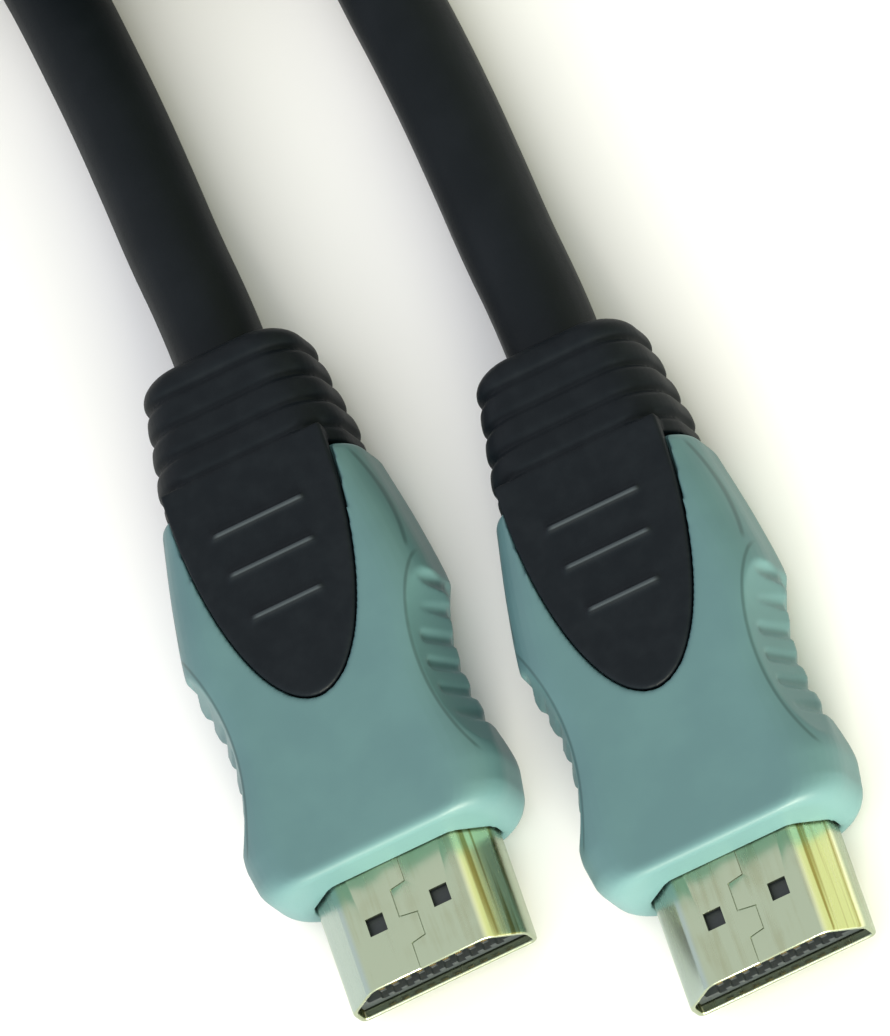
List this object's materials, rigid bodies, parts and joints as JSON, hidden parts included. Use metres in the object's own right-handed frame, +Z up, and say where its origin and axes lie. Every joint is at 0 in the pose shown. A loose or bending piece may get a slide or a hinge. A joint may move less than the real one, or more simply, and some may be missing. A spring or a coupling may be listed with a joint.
{
  "type": "hdmi cable",
  "caption": "Round black lead with a like moulded type A plug on each end, put away as a tied hank behind the plugs.",
  "frame": {"origin": "on the floor, under the middle of the two plugs' common box", "axes": "+Z up; +Y from the plugs' metal mouths back along the lead; +X across the two plugs, from plug a to plug b"},
  "size_m": [0.0618, 0.2105, 0.0246],
  "materials": {
    "hood_grey": "satin moulded plastic, grey with a green cast",
    "boot_black": "matte moulded plastic, near black",
    "shell_metal": "pale gold plate over drawn sheet, glossy",
    "insert_black": "matte moulded plastic, black",
    "contact_gold": "gold plate",
    "cord_jacket": "matte flexible plastic, black",
    "tie_strap": "black woven hook and loop strap"
  },
  "bodies": {
    "root": {"hood_a": "hood_grey", "boot_a": "boot_black", "shell_a": "shell_metal", "insert_a": "insert_black", "contact_a_01": "contact_gold", "contact_a_02": "contact_gold", "contact_a_03": "contact_gold", "contact_a_04": "contact_gold", "contact_a_05": "contact_gold", "contact_a_06": "contact_gold", "contact_a_07": "contact_gold", "contact_a_08": "contact_gold", "contact_a_09": "contact_gold", "contact_a_10": "contact_gold", "contact_a_11": "contact_gold", "contact_a_12": "contact_gold", "contact_a_13": "contact_gold", "contact_a_14": "contact_gold", "contact_a_15": "contact_gold", "contact_a_16": "contact_gold", "contact_a_17": "contact_gold", "contact_a_18": "contact_gold", "contact_a_19": "contact_gold", "hood_b": "hood_grey", "boot_b": "boot_black", "shell_b": "shell_metal", "insert_b": "insert_black", "contact_b_01": "contact_gold", "contact_b_02": "contact_gold", "contact_b_03": "contact_gold", "contact_b_04": "contact_gold", "contact_b_05": "contact_gold", "contact_b_06": "contact_gold", "contact_b_07": "contact_gold", "contact_b_08": "contact_gold", "contact_b_09": "contact_gold", "contact_b_10": "contact_gold", "contact_b_11": "contact_gold", "contact_b_12": "contact_gold", "contact_b_13": "contact_gold", "contact_b_14": "contact_gold", "contact_b_15": "contact_gold", "contact_b_16": "contact_gold", "contact_b_17": "contact_gold", "contact_b_18": "contact_gold", "contact_b_19": "contact_gold", "cord_lead_a": "cord_jacket", "cord_lead_b": "cord_jacket", "cord_hank": "cord_jacket", "tie_left": "tie_strap", "tie_right": "tie_strap"}
  },
  "joints": []
}
